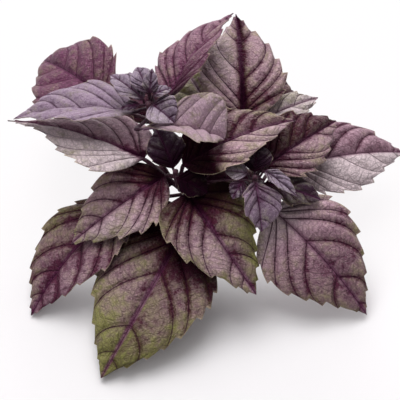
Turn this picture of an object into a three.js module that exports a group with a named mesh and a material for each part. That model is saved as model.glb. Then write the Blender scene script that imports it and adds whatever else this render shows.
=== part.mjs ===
// A cut bunch of purple basil, lying on a flat surface with its leafy head to the front (-Y) and its
// stems trailing to the back (+Y). Millimetres, +Z up, origin under the middle of the whole bunch.
// Four sprigs, each a square-sectioned stem that comes down from its shoot tip and then lies along the
// surface. Every leaf is one closed solid, blade and leafstalk together, and stands at a node of its stem.

import * as THREE from 'three';
import { ParametricGeometry } from 'three/addons/geometries/ParametricGeometry.js';
import { mergeVertices } from 'three/addons/utils/BufferGeometryUtils.js';

// ---------------------------------------------------------------- driving dimensions

const CENTRE = [-4, -18, 0];          // moves the bunch so that its box is centred on the origin

const BLADE_HALF_THICKNESS = 0.3;     // blade between its veins
const RIB_HALF_THICKNESS = 0.75;      // blade along the midrib, at its base
const BLADE_CURL = 20;                // degrees that each half of a blade bends down towards its margin
const BLADE_POINTEDNESS = 1.9;        // sum of the outline's two exponents, unless a leaf has its own
const STALK_RADIUS = 1.1;             // leafstalk of a grown leaf
const YOUNG_STALK_RADIUS = 0.6;       // leafstalk of a young leaf

const STEM_TIP_RADIUS = 1.0;          // stem just under the shoot tip
const STEM_CUT_RADIUS = 2.1;          // stem where it was cut
const STEM_SQUARENESS = 0.1;          // how far the corners stand out, as a share of the radius
const NODE_SWELLING = 0.3;            // extra radius at a node, as a share of the radius
const NODE_REACH = 2;                 // half length of that swelling
const JOINT_GAP = 0.4;                // leafstalk to stem
const SETTLE = 3;                     // height over which a blade bends flat where it meets the surface

const BLADE_STEPS = 9;
const STALK_STEPS = 4;
const YOUNG_BLADE_STEPS = 6;
const YOUNG_STALK_STEPS = 2;
const STEM_STEPS = 24;

// ---------------------------------------------------------------- what the bunch is made of

// Each stem is a smooth curve through these points, from its shoot tip to its cut end.
const STEMS = {
  left: [[-23, 30, 62], [-22, 31, 50], [-19, 34, 36], [-13, 42, 22], [-6, 54, 11], [-1, 72, 4], [0, 108, 2.1]],
  right: [[24, -2, 49], [24, -1, 38], [23, 4, 25], [21, 16, 13], [19, 34, 6], [18, 64, 2.8], [20, 104, 2.1]],
  centre: [[-11, 4, 46], [-10, 5, 36], [-7, 10, 24], [0, 22, 12], [6, 40, 5], [9, 70, 2.6], [10, 112, 2.1]],
  back: [[19, 37, 36], [19, 41, 27], [21, 51, 16], [25, 68, 7], [28, 88, 3.2], [29, 112, 2.1]],
};

// Each leaf: name, stem, how far its node is below the shoot tip, and the place of its blade's base.
// Then, in degrees, the compass heading (0 is +X, 90 is +Y), the rise at the base and how much of it
// the blade loses by its tip, and how much the heading turns by the tip. Then the blade's length and
// width, its roll about the midrib, the fold that lifts each half, and where along it is widest. A
// last number, where there is one, is how pointed that blade is.
const LEAVES = [
  ['front_green', 'centre', 24, [-5, -7, 24], -114, -4, 23, -9, 82, 54, 0, 8, 0.40],
  ['front_left', 'centre', 30, [-34, 4, 21], -140, -2, 32, 18, 67, 44, 10, 18, 0.36],
  ['front_centre', 'centre', 12, [-5, -5, 40], -60, -10, 26, 14, 54, 42, 4, 15, 0.24, 1.35],
  ['left_mid', 'centre', 5, [-16, 6, 39], -146, -6, 29, -8, 52, 36, -8, 17, 0.34],
  ['left_lower', 'centre', 12, [-25.4, 11.8, 44.6], 150, 4, 18, 11, 72, 46, 14, 12, 0.22, 2.6],
  ['centre_right', 'centre', 5, [-7, 7, 46], 22, 25, 30, -4, 55, 36, 0, 23, 0.32],
  ['centre_low', 'centre', 17, [-3, 6, 35], 8, 6, 24, 0, 33, 30, 0, 14, 0.38],
  ['centre_shade', 'centre', 17, [-12.5, 9, 31], 165, 2, 16, 0, 25, 20, 0, 12, 0.42],
  ['front_right', 'right', 12, [32, -7, 32], -40, -14, 28, -2, 64, 49, 16, 8, 0.33],
  ['right_fold', 'right', 9, [26.8, 7.6, 41.6], 37, 10, 20, 6, 48, 32, 22, 26, 0.38],
  ['right_back', 'right', 24, [40, 19, 30], 18, 6, 30, 0, 62, 40, 14, 10, 0.36],
  ['left_upper', 'left', 5, [-30, 32, 54], 175, 5, 26, 4, 57, 34, 13, 26, 0.36],
  ['right_upper', 'left', 8, [-27.2, 18.3, 57], 2, 13, 30, -20, 39, 38, 0, 46, 0.72, 3],
  ['upper_left', 'left', 14, [-43, 46.5, 46.5], 137, 9, 41, -11, 54, 45, -20, 17, 0.4],
  ['back_left', 'left', 14, [-14, 48, 48], 61, 27, 23, -13, 54, 33, -28, 25, 0.32],
  ['back', 'back', 4, [20, 45, 35], 89, 20, 14, 6, 62, 43, 6, 16, 0.34, 2.1],
  ['back_middle', 'back', 8, [9, 46, 31], 116, 13, 15, 0, 44, 32, -10, 14, 0.36],
  ['far_right', 'back', 14, [28, 50, 29], 22, 18, 20, 0, 32, 19, 8, 12, 0.4],
  ['low_left', 'left', 34, [-32, 44, 22], 150, -4, 22, 0, 50, 34, 0, 12, 0.36],
  ['low_back_left', 'left', 42, [-20, 62, 16], 122, 6, 22, 0, 46, 32, 0, 12, 0.36],
  ['low_back', 'back', 34, [13, 76, 15], 98, 6, 22, 0, 36, 26, 0, 12, 0.36],
  ['low_back_right', 'back', 26, [33, 66, 17], 74, 2, 22, 0, 34, 26, 0, 12, 0.36],
  ['low_right', 'right', 38, [38, 33, 15], 12, 0, 22, 0, 46, 28, 4, 12, 0.36],
  ['low_front', 'centre', 36, [-6, 4, 14], -160, 2, 14, 0, 34, 30, 0, 10, 0.36],
];

const YOUNG_LEAVES = [
  ['young_left', 'left', 2, [-25.4, 31.2, 62.4], 138, 18, 26, 0, 21, 14, 2, 24, 0.42],
  ['young_back', 'left', 3, [-23, 33, 64.5], 112, 24, 22, 0, 15, 13, 0, 25, 0.42],
  ['young_up', 'left', 1, [-22.2, 31.3, 66.4], 82, 56, 24, 0, 11, 7.4, 0, 25, 0.4],
  ['young_front', 'left', 2, [-21.2, 26.6, 63.4], -44, 10, 38, 4, 14, 17, 12, 26, 0.4],
  ['young_right', 'left', 1, [-20.6, 30.1, 66], 16, 30, 38, 0, 9, 7.4, 0, 24, 0.4],
  ['young_side', 'left', 1, [-27, 28.6, 61.6], 190, 4, 27, -2, 9, 6, -4, 24, 0.4],
  ['right_young_front', 'right', 4, [23.6, -6, 49], -79, -20, 26, -4, 22, 21, -24, 28, 0.44],
  ['right_young_up', 'right', 3, [24, 1.6, 47.6], 84, 24, 20, 0, 14, 15, 0, 22, 0.42],
  ['right_young_left', 'right', 2, [20.4, -2.6, 50.8], 166, 4, 20, 0, 10, 10, -5, 20, 0.4],
  ['right_young_low', 'right', 4, [18.6, -7.1, 50.8], -129, -22, 26, 0, 9, 8.4, 0, 20, 0.4],
  ['right_side', 'right', 6, [29, 2.4, 38.6], -16, 2, 18, 0, 26, 18, 0, 16, 0.45],
  ['right_young_right', 'right', 2, [28.3, -0.4, 50], -39, -2, 23, 0, 18, 8, 12, 36, 0.4],
  ['centre_young_up', 'centre', 2, [-12, 6, 45], 113, 32, 23, 3, 20, 18, -6, 20, 0.44, 1.9],
  ['centre_young_front', 'centre', 2, [-10, -0.6, 45.6], -22, -4, 24, 0, 15, 15, 8, 19, 0.46],
];

// ---------------------------------------------------------------- shapes

const UP = new THREE.Vector3(0, 0, 1);

// A closed surface round a row of rings. Each ring is a list of the same number of points; the first
// and last rings are single points repeated, so that the ends close.
function closedSurface(rings) {
  const around = rings[0].length;
  const along = rings.length - 1;
  const place = (u, v, target) => {
    const ring = rings[Math.round(v * along)];
    target.copy(ring[Math.round(u * around) % around]);
  };
  const grid = new ParametricGeometry(place, around, along);
  grid.deleteAttribute('normal');
  grid.deleteAttribute('uv');
  const merged = mergeVertices(grid, 1e-4);
  const index = merged.getIndex().array;
  const kept = [];
  for (let i = 0; i < index.length; i += 3) {
    const [a, b, c] = [index[i], index[i + 1], index[i + 2]];
    if (a !== b && b !== c && c !== a) kept.push(a, b, c);
  }
  merged.setIndex(kept);
  return merged;
}

// A ring shrunk to its middle, which closes an end.
function endOf(ring) {
  const middle = ring.reduce((sum, p) => sum.add(p), new THREE.Vector3()).divideScalar(ring.length);
  return ring.map(() => middle.clone());
}

const radians = THREE.MathUtils.degToRad;

// Share of the half width at a share s of the blade's length: a beta curve, 1 where it is widest.
function outline(leaf, s) {
  const { widest, pointedness } = leaf;
  const a = widest * pointedness;
  const b = (1 - widest) * pointedness;
  return (s ** a * (1 - s) ** b) / (widest ** a * (1 - widest) ** b);
}

// Where a point at a share t of one half's width lies: out from the midrib and above it. The half
// leaves the midrib at the fold angle and bends down by the curl, along a circular arc.
function acrossBlade(fold, t) {
  const f = radians(fold);
  const c = radians(BLADE_CURL);
  return [(Math.sin(f) - Math.sin(f - c * t)) / c, (Math.cos(f - c * t) - Math.cos(f)) / c];
}

// A height eased so that what would sink below the surface lies on it.
function settled(z, level) {
  const above = z - level;
  if (above > SETTLE) return z;
  if (above < -SETTLE) return level;
  return level + (above + SETTLE) ** 2 / (4 * SETTLE);
}

// Direction of the midrib at a share s of the blade's length.
function midribDirection(leaf, s) {
  const heading = radians(leaf.heading + leaf.turn * s);
  const rise = radians(leaf.rise - leaf.droop * s);
  const flat = Math.cos(rise);
  return new THREE.Vector3(flat * Math.cos(heading), flat * Math.sin(heading), Math.sin(rise));
}

// The blade's right-hand side and upper side at a share s of its length.
function bladeSides(leaf, s) {
  const ahead = midribDirection(leaf, s);
  const right = new THREE.Vector3().crossVectors(ahead, UP).normalize();
  right.applyAxisAngle(ahead, radians(leaf.roll));
  const above = new THREE.Vector3().crossVectors(right, ahead);
  return { right, above };
}

// Eight points round a section of a leaf, from its left margin over the top to the right margin and
// back underneath. half is the half width, thick the half thickness at the midrib and halfway out.
function leafSection(middle, right, above, half, fold, thick) {
  const point = (t, side) => {
    const [out, lift] = acrossBlade(fold, Math.abs(t));
    const p = middle.clone();
    p.addScaledVector(right, Math.sign(t) * out * half);
    p.addScaledVector(above, lift * half);
    p.z = settled(p.z, BLADE_HALF_THICKNESS);
    const depth = Math.abs(t) === 1 ? 0 : thick[Math.abs(t) === 0.5 ? 1 : 0];
    return p.addScaledVector(above, side * depth);
  };
  const top = [-1, -0.5, 0, 0.5, 1].map((t) => point(t, 1));
  const underside = [0.5, 0, -0.5].map((t) => point(t, -1));
  return [...top, ...underside];
}

// The sections of a blade, from its base to just short of its tip, and then its tip.
function bladeSections(leaf, steps, stalkRadius) {
  const sections = [];
  const middle = leaf.base.clone();
  for (let i = 0; i < steps; i += 1) {
    const s = i / steps;
    const { right, above } = bladeSides(leaf, s);
    const half = Math.max((outline(leaf, s) * leaf.width) / 2, stalkRadius);
    const rib = THREE.MathUtils.lerp(RIB_HALF_THICKNESS, BLADE_HALF_THICKNESS, s);
    const thick = i === 0 ? [stalkRadius, 0.8 * stalkRadius] : [rib, BLADE_HALF_THICKNESS];
    const fold = i === 0 ? 0 : leaf.fold;
    sections.push(leafSection(middle, right, above, half, fold, thick));
    middle.addScaledVector(midribDirection(leaf, (i + 0.5) / steps), leaf.length / steps);
  }
  const tip = middle.clone();
  tip.z = settled(tip.z, BLADE_HALF_THICKNESS);
  sections.push(sections[0].map(() => tip.clone()));
  return sections;
}

// The sections of a leafstalk, from its foot on the stem to just short of the blade's base.
function stalkSections(leaf, stem, steps, radius) {
  const share = leaf.node / stem.length;
  const axis = stem.curve.getTangentAt(share).negate();
  const joint = stem.curve.getPointAt(share);
  const towards = leaf.base.clone().sub(joint);
  towards.addScaledVector(axis, -towards.dot(axis)).normalize();
  const clear = stemRadius(stem, leaf.node) * (1 + STEM_SQUARENESS) + JOINT_GAP;
  const foot = joint.clone().addScaledVector(towards, clear);
  const reach = foot.distanceTo(leaf.base) / 3;
  const bladeStart = midribDirection(leaf, 0);
  const route = new THREE.CubicBezierCurve3(
    foot,
    foot.clone().addScaledVector(towards, reach),
    leaf.base.clone().addScaledVector(bladeStart, -reach),
    leaf.base,
  );
  const { above: bladeAbove } = bladeSides(leaf, 0);
  const sections = [];
  for (let i = 0; i < steps; i += 1) {
    const ahead = route.getTangent(i / steps);
    const hint = axis.clone().lerp(bladeAbove, i / steps);
    const right = new THREE.Vector3().crossVectors(ahead, hint).normalize();
    const above = new THREE.Vector3().crossVectors(right, ahead);
    sections.push(leafSection(route.getPoint(i / steps), right, above, radius, 0, [radius, 0.8 * radius]));
  }
  return [endOf(sections[0]), ...sections];
}

function leafGeometry(leaf, stem, young) {
  const radius = young ? YOUNG_STALK_RADIUS : STALK_RADIUS;
  const stalk = stalkSections(leaf, stem, young ? YOUNG_STALK_STEPS : STALK_STEPS, radius);
  const blade = bladeSections(leaf, young ? YOUNG_BLADE_STEPS : BLADE_STEPS, radius);
  return closedSurface([...stalk, ...blade]);
}

// Radius of a stem at a distance below its shoot tip: it widens evenly and swells at each node.
function stemRadius(stem, distance) {
  const plain = THREE.MathUtils.lerp(STEM_TIP_RADIUS, STEM_CUT_RADIUS, distance / stem.length);
  const swelling = stem.nodes.map((node) => Math.exp(-(((distance - node) / NODE_REACH) ** 2)));
  return plain * (1 + NODE_SWELLING * Math.max(...swelling));
}

// A stem: a rounded square carried along its curve, its corners standing out a little, and flat where
// it lies on the surface.
function stemGeometry(stem) {
  const frames = stem.curve.computeFrenetFrames(STEM_STEPS);
  const rings = [];
  for (let i = 0; i <= STEM_STEPS; i += 1) {
    const share = i / STEM_STEPS;
    const middle = stem.curve.getPointAt(share);
    const radius = stemRadius(stem, share * stem.length);
    const ring = [];
    for (let k = 0; k < 8; k += 1) {
      const angle = (k * Math.PI) / 4;
      const reach = radius * (k % 2 ? 1 + STEM_SQUARENESS : 1 - STEM_SQUARENESS);
      const p = middle.clone();
      p.addScaledVector(frames.normals[i], reach * Math.cos(angle));
      p.addScaledVector(frames.binormals[i], reach * Math.sin(angle));
      p.z = Math.max(p.z, 0);
      ring.push(p);
    }
    rings.push(ring);
  }
  return closedSurface([endOf(rings[0]), ...rings, endOf(rings[STEM_STEPS])]);
}

// ---------------------------------------------------------------- the bunch

function finish(color, roughness) {
  return new THREE.MeshStandardMaterial({ color, roughness, metalness: 0 });
}

function readLeaf(row) {
  const [name, stem, node, start, heading, rise, droop, turn, length, width, roll, fold, widest] = row;
  const base = new THREE.Vector3(...start);
  const pointedness = row[13] ?? BLADE_POINTEDNESS;
  return {
    name, stem, node, base, heading, rise, droop, turn, length, width, roll, fold, widest, pointedness,
  };
}

const bunch = new THREE.Group();
bunch.name = 'purple_basil_bunch';
bunch.position.set(...CENTRE);

function addPiece(name, geometry, material) {
  const mesh = new THREE.Mesh(geometry, material);
  mesh.name = name;
  bunch.add(mesh);
}

const grown = LEAVES.map(readLeaf);
const young = YOUNG_LEAVES.map(readLeaf);

const stems = {};
for (const [name, points] of Object.entries(STEMS)) {
  const curve = new THREE.CatmullRomCurve3(points.map((p) => new THREE.Vector3(...p)));
  const nodes = [...grown, ...young].filter((leaf) => leaf.stem === name).map((leaf) => leaf.node);
  stems[name] = { curve, nodes, length: curve.getLength() };
  addPiece(`${name}_stem`, stemGeometry(stems[name]), finish('#4a1c33', 0.55));
}

for (const leaf of grown) {
  const color = leaf.name === 'front_green' ? '#5c5540' : '#5b4352';
  addPiece(leaf.name, leafGeometry(leaf, stems[leaf.stem], false), finish(color, 0.6));
}

for (const leaf of young) {
  addPiece(leaf.name, leafGeometry(leaf, stems[leaf.stem], true), finish('#4d3f52', 0.55));
}

export default bunch;
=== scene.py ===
"""Looks of a cut bunch of purple basil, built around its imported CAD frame.

Every leaf and stem of the frame is replaced by a detailed mesh at the same place: leaves with a
quilted blade between sunken side veins, a toothed margin and a round leafstalk, and square, grooved
stems with swollen nodes. Lengths are in millimetres until a mesh is made, and then in metres.
"""

import math
from collections import namedtuple
from functools import partial

import bpy
import numpy as np
from bpy.props import FloatProperty, FloatVectorProperty, IntProperty, PointerProperty
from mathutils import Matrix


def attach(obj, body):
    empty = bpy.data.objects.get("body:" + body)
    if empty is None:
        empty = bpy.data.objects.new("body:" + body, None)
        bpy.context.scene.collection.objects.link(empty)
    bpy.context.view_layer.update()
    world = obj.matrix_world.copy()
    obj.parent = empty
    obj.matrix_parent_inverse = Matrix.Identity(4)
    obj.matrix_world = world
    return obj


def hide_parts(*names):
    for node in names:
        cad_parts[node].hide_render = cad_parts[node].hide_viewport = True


bl_info = {
    "name": "Purple Basil Bunch",
    "version": (1, 0, 0),
    "blender": (4, 5, 0),
    "location": "3D View > Sidebar > Basil",
    "description": "Builds a cut bunch of purple basil over its packed frame",
    "category": "Add Mesh",
}

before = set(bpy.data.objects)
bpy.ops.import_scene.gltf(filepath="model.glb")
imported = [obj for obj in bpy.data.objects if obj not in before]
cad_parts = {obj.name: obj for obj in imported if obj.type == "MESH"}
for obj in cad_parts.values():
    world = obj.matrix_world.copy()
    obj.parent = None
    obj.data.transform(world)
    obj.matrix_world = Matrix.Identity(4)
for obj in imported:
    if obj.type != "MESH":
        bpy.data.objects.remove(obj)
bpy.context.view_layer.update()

# ---- the bunch, as in the CAD part

MM = 0.001
CENTRE = np.array([-4.0, -18.0, 0.0])  # moves the bunch so that its box is centred on the origin

BLADE_CURL = 20  # degrees that each half of a blade bends down towards its margin
BLADE_POINTEDNESS = 1.9  # sum of the outline's two exponents, unless a leaf has its own
STEM_TIP_RADIUS = 1.0
STEM_CUT_RADIUS = 2.1
STEM_SQUARENESS = 0.1
NODE_SWELLING = 0.3
NODE_REACH = 2.0
JOINT_GAP = 0.4  # leafstalk to stem in the CAD part; here the leafstalk grows on into the stem
SETTLE = 3.0  # height over which a blade bends flat where it meets the surface

# Each stem is a smooth curve through these points, from its shoot tip to its cut end.
STEMS = {
    "left": [
        (-23, 30, 62), (-22, 31, 50), (-19, 34, 36), (-13, 42, 22), (-6, 54, 11), (-1, 72, 4), (0, 108, 2.1)
    ],
    "right": [
        (24, -2, 49), (24, -1, 38), (23, 4, 25), (21, 16, 13), (19, 34, 6), (18, 64, 2.8), (20, 104, 2.1)
    ],
    "centre": [
        (-11, 4, 46), (-10, 5, 36), (-7, 10, 24), (0, 22, 12), (6, 40, 5), (9, 70, 2.6), (10, 112, 2.1)
    ],
    "back": [(19, 37, 36), (19, 41, 27), (21, 51, 16), (25, 68, 7), (28, 88, 3.2), (29, 112, 2.1)],
}

# Each leaf: name, stem, how far its node is below the shoot tip, and the place of its blade's base.
# Then, in degrees, the compass heading (0 is +X, 90 is +Y), the rise at the base and how much of it
# the blade loses by its tip, and how much the heading turns by the tip. Then the blade's length and
# width, its roll about the midrib, the fold that lifts each half, and where along it is widest. A
# last number, where there is one, is how pointed that blade is.
LEAF_FIELDS = "name stem node base heading rise droop turn length width roll fold widest pointedness"
Leaf = namedtuple("Leaf", LEAF_FIELDS, defaults=(BLADE_POINTEDNESS,))

GROWN_LEAVES = [
    Leaf("front_green", "centre", 24, (-5, -7, 24), -114, -4, 23, -9, 82, 54, 0, 8, 0.4),
    Leaf("front_left", "centre", 30, (-34, 4, 21), -140, -2, 32, 18, 67, 44, 10, 18, 0.36),
    Leaf("front_centre", "centre", 12, (-5, -5, 40), -60, -10, 26, 14, 54, 42, 4, 15, 0.24, 1.35),
    Leaf("left_mid", "centre", 5, (-16, 6, 39), -146, -6, 29, -8, 52, 36, -8, 17, 0.34),
    Leaf("left_lower", "centre", 12, (-25.4, 11.8, 44.6), 150, 4, 18, 11, 72, 46, 14, 12, 0.22, 2.6),
    Leaf("centre_right", "centre", 5, (-7, 7, 46), 22, 25, 30, -4, 55, 36, 0, 23, 0.32),
    Leaf("front_right", "right", 12, (32, -7, 32), -40, -14, 28, -2, 64, 49, 16, 8, 0.33),
    Leaf("right_fold", "right", 9, (26.8, 7.6, 41.6), 37, 10, 20, 6, 48, 32, 22, 26, 0.38),
    Leaf("right_back", "right", 24, (40, 19, 30), 18, 6, 30, 0, 62, 40, 14, 10, 0.36),
    Leaf("left_upper", "left", 5, (-30, 32, 54), 175, 5, 26, 4, 57, 34, 13, 26, 0.36),
    Leaf("right_upper", "left", 8, (-27.2, 18.3, 57), 2, 13, 30, -20, 39, 38, 0, 46, 0.72, 3),
    Leaf("upper_left", "left", 14, (-43, 46.5, 46.5), 137, 9, 41, -11, 54, 45, -20, 17, 0.4),
    Leaf("back_left", "left", 14, (-14, 48, 48), 61, 27, 23, -13, 54, 33, -28, 25, 0.32),
    Leaf("back", "back", 4, (20, 45, 35), 89, 20, 14, 6, 62, 43, 6, 16, 0.34, 2.1),
    Leaf("back_middle", "back", 8, (9, 46, 31), 116, 13, 15, 0, 44, 32, -10, 14, 0.36),
    Leaf("far_right", "back", 14, (28, 50, 29), 22, 18, 20, 0, 32, 19, 8, 12, 0.4),
]

LOW_LEAVES = [
    Leaf("centre_low", "centre", 17, (-3, 6, 35), 8, 6, 24, 0, 33, 30, 0, 14, 0.38),
    Leaf("centre_shade", "centre", 17, (-12.5, 9, 31), 165, 2, 16, 0, 25, 20, 0, 12, 0.42),
    Leaf("low_left", "left", 34, (-32, 44, 22), 150, -4, 22, 0, 50, 34, 0, 12, 0.36),
    Leaf("low_back_left", "left", 42, (-20, 62, 16), 122, 6, 22, 0, 46, 32, 0, 12, 0.36),
    Leaf("low_back", "back", 34, (13, 76, 15), 98, 6, 22, 0, 36, 26, 0, 12, 0.36),
    Leaf("low_back_right", "back", 26, (33, 66, 17), 74, 2, 22, 0, 34, 26, 0, 12, 0.36),
    Leaf("low_right", "right", 38, (38, 33, 15), 12, 0, 22, 0, 46, 28, 4, 12, 0.36),
    Leaf("low_front", "centre", 36, (-6, 4, 14), -160, 2, 14, 0, 34, 30, 0, 10, 0.36),
]

YOUNG_LEAVES = [
    Leaf("young_left", "left", 2, (-25.4, 31.2, 62.4), 138, 18, 26, 0, 21, 14, 2, 24, 0.42),
    Leaf("young_back", "left", 3, (-23, 33, 64.5), 112, 24, 22, 0, 15, 13, 0, 25, 0.42),
    Leaf("young_up", "left", 1, (-22.2, 31.3, 66.4), 82, 56, 24, 0, 11, 7.4, 0, 25, 0.4),
    Leaf("young_front", "left", 2, (-21.2, 26.6, 63.4), -44, 10, 38, 4, 14, 17, 12, 26, 0.4),
    Leaf("young_right", "left", 1, (-20.6, 30.1, 66), 16, 30, 38, 0, 9, 7.4, 0, 24, 0.4),
    Leaf("young_side", "left", 1, (-27, 28.6, 61.6), 190, 4, 27, -2, 9, 6, -4, 24, 0.4),
    Leaf("right_young_front", "right", 4, (23.6, -6, 49), -79, -20, 26, -4, 22, 21, -24, 28, 0.44),
    Leaf("right_young_up", "right", 3, (24, 1.6, 47.6), 84, 24, 20, 0, 14, 15, 0, 22, 0.42),
    Leaf("right_young_left", "right", 2, (20.4, -2.6, 50.8), 166, 4, 20, 0, 10, 10, -5, 20, 0.4),
    Leaf("right_young_low", "right", 4, (18.6, -7.1, 50.8), -129, -22, 26, 0, 9, 8.4, 0, 20, 0.4),
    Leaf("right_side", "right", 6, (29, 2.4, 38.6), -16, 2, 18, 0, 26, 18, 0, 16, 0.45),
    Leaf("right_young_right", "right", 2, (28.3, -0.4, 50), -39, -2, 23, 0, 18, 8, 12, 36, 0.4),
    Leaf("centre_young_up", "centre", 2, (-12, 6, 45), 113, 32, 23, 3, 20, 18, -6, 20, 0.44, 1.9),
    Leaf("centre_young_front", "centre", 2, (-10, -0.6, 45.6), -22, -4, 24, 0, 15, 15, 8, 19, 0.46),
]

ALL_LEAVES = GROWN_LEAVES + LOW_LEAVES + YOUNG_LEAVES

# ---- colour and relief of each leaf

# How each blade is coloured. Green is the share of green that shows through the purple, and tip, left,
# right and margin are what those parts of the blade add to it. Light runs from about -1, dark and
# fresh, through 1, dull with bloom, to 5, pale all over; on many blades it also holds painted light,
# raised where a blade lies in shade, and painted shade, lowered where a blade lies deep in the bunch.
# The number after light is painted shade that darkens the base, and below nought painted light there.
# Rib takes light away along the midrib, or below nought gives it, and half is painted light on the
# right half and painted shade on the left. Wine is how thin and violet the blade is, and faint is how
# much finer its veins are than usual.
TONE_FIELDS = "green tip left right margin light deep wine half faint rib"
Tone = namedtuple("Tone", TONE_FIELDS, defaults=(0,) * 11)

TONES = {
    "front_green": Tone(green=0.05, tip=1, right=0.1, margin=0.15, light=0.7, deep=3, half=0.35, rib=0.3),
    "front_left": Tone(green=0.05, tip=-0.4, right=0.4, margin=0.1, light=0.1, deep=0.8, wine=0.1, rib=0.5),
    "front_centre": Tone(
        green=0.1, tip=0.05, left=0.45, margin=0.3, light=1.2, deep=2.6, half=0.45, rib=0.5
    ),
    "left_mid": Tone(green=0.05, tip=0.4, margin=0.15, light=2, deep=2.9, half=-0.4, rib=0.5),
    "left_lower": Tone(
        green=-0.1, left=0.1, margin=0.1, light=4.8, deep=2.4, wine=0.1, half=-2, faint=0.3, rib=3.6
    ),
    "centre_right": Tone(green=0.1, tip=0.1, left=0.05, margin=0.1, light=1.2, deep=5.2, half=0.8),
    "front_right": Tone(tip=0.2, margin=0.25, light=0.2, deep=-3.2, wine=0.1, rib=-0.2),
    "right_fold": Tone(green=0.1, margin=0.05, light=0.3, deep=0.6, half=0.65),
    "right_back": Tone(green=-0.3, left=0.05, margin=0.2, light=2.3, wine=0.1, half=1.8, faint=0.5),
    "left_upper": Tone(light=1.2, deep=-0.6, wine=0.2, faint=0.6),
    "right_upper": Tone(margin=0.3, light=5.2, deep=-0.6, wine=0.7, half=1.2, faint=1),
    "upper_left": Tone(green=0.05, margin=0.1, light=-0.4, deep=0.2, wine=0.6, faint=2.2),
    "back_left": Tone(margin=0.05, light=0.15, deep=0.8, wine=0.35, half=-0.3, faint=1),
    "back": Tone(green=0.1, margin=0.1, light=1.9, deep=1.6, half=-0.75, rib=2.6),
    "back_middle": Tone(green=0.6, margin=0.1, light=3.4, faint=0.7),
    "far_right": Tone(green=0.1, margin=0.2, light=4.4, faint=0.8),
    "young_left": Tone(light=1.05, deep=1.2, faint=1.4),
    "young_back": Tone(light=0.95, deep=1.2, faint=1.4),
    "young_up": Tone(light=0.7, deep=1.2, faint=1.4),
    "young_front": Tone(light=1.3, deep=0.9, half=1, faint=1.4),
    "young_right": Tone(light=0.8, deep=0.9, faint=1.6),
    "right_young_front": Tone(light=0.55, deep=0.9, wine=0.2, faint=1.4),
    "right_young_right": Tone(light=1.2, deep=0.9, faint=1.6),
    "right_young_left": Tone(light=2.6, deep=0.9, faint=1.4),
    "right_young_up": Tone(light=-0.5, deep=0.6),
    "right_side": Tone(green=0.1, margin=0.2, light=-0.6, deep=0.6),
    "centre_young_up": Tone(light=-0.7, deep=0.6),
    "centre_young_front": Tone(light=-1.2, deep=0.6),
}
LOW_TONE = Tone(green=0.05, tip=0.1, margin=0.15, light=-0.6, deep=0.7, wine=0.1)
YOUNG_TONE = Tone(light=0.2, deep=1)

FRESH_LEAVES = ("left_upper", "right_upper")  # grown leaves that still have a young leaf's skin
SMALL_TEETH = ("right_upper", "left_upper", "centre_right")
SMALL_TOOTH = 0.4  # depth of their teeth, as a share of the usual

# Shares of the length at which the side veins of one half reach the margin.
GROWN_VEINS = (0.23, 0.41, 0.57, 0.7, 0.81, 0.91)
YOUNG_VEINS = (0.28, 0.5, 0.69, 0.85)
VEIN_UNEVENNESS = 0.03
FEW_VEINS_LENGTH = 28  # a shorter blade has the young leaves' veins
FULL_DETAIL_LENGTH = 34  # a young blade shorter than this has finer relief
VEIN_SWEEP = 6.6  # how far down the midrib the veins near the base leave it
TEETH_FROM, TEETH_TO = 0.17, 0.95  # shares of the rows between which the margin is toothed
MARGIN_STRETCH = 1.15  # length of a margin for a blade of length 1
MARGIN_WAVES = (2.2, 3.2)  # fewest and most along one margin
LOPSIDEDNESS = 0.04  # most that one half is wider than its usual width
SEED = 7

# Relief of a full-size blade. Widths are those of bell shapes, exp(-(x / width)^2).
HALF_VEIN_GAP = 4.6  # half of the usual gap between two side veins
FLAT_BY_MIDRIB = 2.6  # width beside the midrib where the blade doesn't bulge
GROOVE_WIDTH, GROOVE_DEPTH = 0.8, 0.28  # along the midrib, above
VEIN_WIDTH, VEIN_SINK, VEIN_RISE = 0.5, 0.1, 0.3  # side veins sink above and stand out below
RIB_TIP_RADIUS = 0.25  # of the midrib underneath, at the blade's tip
# Painted shade at the base: a blade's base is darkened over this share of its length.
PAINTED_SHADE_BASE_SHARE = 0.3  # share of the length over which a blade's base is deeper in colour
DARK_RIB = 4.5  # width beside the midrib that is deeper in colour

STEM_SIDES = 40
STEM_ROWS = 150
STEM_DOME = 1.2  # height of the rounded shoot tip
CUT_RINGS = (0.95, 0.65, 0.3)  # shares of the radius at which the cut face has its rings
COLLAR_REACH, COLLAR_SIZE = 0.7, 0.06  # the ridge round a node

FLOOR_SIDES = 96
FLOOR_RADII = (0.05, 0.2, 0.6, 1.5, 4.0)  # metres
FLOOR_DROP = 0.2  # how far the floor lies below the bunch
TARGET_HEIGHT = 30  # what the camera and the lamps point at

# Each lamp: name, its setting, where it is from what it points at, and its size, in metres.
LAMPS = (
    ("Key", "key", (-0.15, 0.35, 1.1), 1.0),
    ("Back", "back", (0.1, 0.95, 0.8), 1.4),
    ("Front", "fill", (-0.5, -0.6, 0.9), 1.2),
)


# ---- settings


def linear(code):
    """An sRGB hex colour as linear red, green, blue: each channel is raised to 2.4 above its toe."""
    srgb = [int(code[i : i + 2], 16) / 255 for i in (1, 3, 5)]
    return tuple(c / 12.92 if c <= 0.04045 else ((c + 0.055) / 1.055) ** 2.4 for c in srgb)


def number_setting(name, description, default, **kind):
    return FloatProperty(name=name, description=description, default=default, **kind)


def length_setting(name, description, default_mm):
    return number_setting(name, description, default_mm * MM, unit="LENGTH", min=0)


def colour_setting(name, description, code):
    kind = {"subtype": "COLOR", "min": 0, "max": 1}
    return FloatVectorProperty(name=name, description=description, default=linear(code), **kind)


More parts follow.
